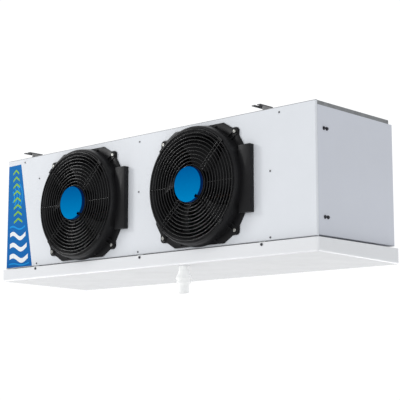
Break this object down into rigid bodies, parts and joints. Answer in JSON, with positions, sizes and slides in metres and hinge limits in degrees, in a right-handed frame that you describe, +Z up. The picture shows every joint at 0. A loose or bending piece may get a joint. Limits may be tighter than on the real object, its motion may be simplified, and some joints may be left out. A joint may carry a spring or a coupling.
{
  "type": "walk-in unit cooler",
  "caption": "Ceiling-hung forced-air evaporator: long white casing, front axial fans with wire guards, finned coil, and a hinged drip tray with a drain underneath.",
  "frame": {"origin": "centre of the four ceiling holes, on the top faces of the four suspension brackets", "axes": "+X along the length (to the right, seen from the front), +Y from the fan side to the coil's air inlet at the back, +Z up"},
  "size_m": [1.628, 0.546, 0.6205],
  "materials": {
    "white_paint": "satin white prepainted sheet",
    "white_tray": "gloss white paint",
    "galvanised": "galvanised sheet steel",
    "black_plastic": "black moulded plastic, slight sheen",
    "black_wire": "gloss black coated wire",
    "blue_plastic": "bright blue moulded plastic",
    "white_plastic": "white moulded plastic",
    "dark_screw": "dark zinc",
    "bright_screw": "bright zinc",
    "aluminium_fin": "plain fin stock",
    "cast_alloy": "die-cast alloy",
    "copper": "copper tube",
    "valve_brass": "brass",
    "stainless": "stainless tube",
    "rubber": "black rubber",
    "grey_plastic": "grey moulded plastic",
    "label": "printed film",
    "winding": "enamelled copper wire"
  },
  "bodies": {
    "casing": {"bracket_screws": "bright_screw", "cable_glands": "grey_plastic", "coil_back_rail": "galvanised", "coil_end_wall_left": "galvanised", "coil_end_wall_right": "galvanised", "coil_fins": "aluminium_fin", "coil_tubes": "copper", "defrost_heaters": "stainless", "expansion_valve": "valve_brass", "fan_1_bearings": "bright_screw", "fan_1_ear_screws": "bright_screw", "fan_1_guard": "black_wire", "fan_1_guard_clips": "black_plastic", "fan_1_housing": "black_plastic", "fan_1_hub_cap": "blue_plastic", "fan_1_motor_base": "cast_alloy", "fan_1_motor_screws": "bright_screw", "fan_1_stator": "stainless", "fan_1_windings": "winding", "fan_2_bearings": "bright_screw", "fan_2_ear_screws": "bright_screw", "fan_2_guard": "black_wire", "fan_2_guard_clips": "black_plastic", "fan_2_housing": "black_plastic", "fan_2_hub_cap": "blue_plastic", "fan_2_motor_base": "cast_alloy", "fan_2_motor_screws": "bright_screw", "fan_2_stator": "stainless", "fan_2_windings": "winding", "fan_chamber_wall": "galvanised", "front_label": "label", "front_panel": "white_paint", "front_panel_screws": "dark_screw", "hinge_leaves_casing": "galvanised", "hinge_pins": "bright_screw", "liquid_distributor": "copper", "liquid_inlet_tube": "copper", "pipe_grommets": "rubber", "return_bends": "copper", "side_cover_left": "white_paint", "side_cover_right": "white_paint", "side_cover_screws": "dark_screw", "suction_header": "copper", "suspension_brackets": "galvanised", "terminal_box": "grey_plastic", "terminal_box_lid": "grey_plastic", "top_cover": "galvanised", "tray_tabs": "galvanised"},
    "tray": {"drip_tray": "white_tray", "tray_screws": "dark_screw", "tray_nuts": "bright_screw", "hinge_leaves_tray": "galvanised", "drain_spigot": "white_plastic", "drain_gasket": "rubber", "drain_lock_ring": "white_plastic", "drain_coupling": "white_plastic"},
    "fan_1": {"fan_1_rotor": "cast_alloy", "fan_1_impeller": "black_plastic"},
    "fan_2": {"fan_2_rotor": "cast_alloy", "fan_2_impeller": "black_plastic"}
  },
  "joints": [
    {"name": "fan_1_spin", "type": "hinge", "parent": "casing", "child": "fan_1", "pos_m": [-0.272, -0.221, -0.25], "axis": [0, -1, 0], "continuous": true},
    {"name": "fan_2_spin", "type": "hinge", "parent": "casing", "child": "fan_2", "pos_m": [0.344, -0.221, -0.25], "axis": [0, -1, 0], "continuous": true},
    {"name": "tray_hinge", "type": "hinge", "parent": "casing", "child": "tray", "pos_m": [0.057, 0.227, -0.4645], "axis": [1, 0, 0], "range_deg": [0, 80]}
  ]
}
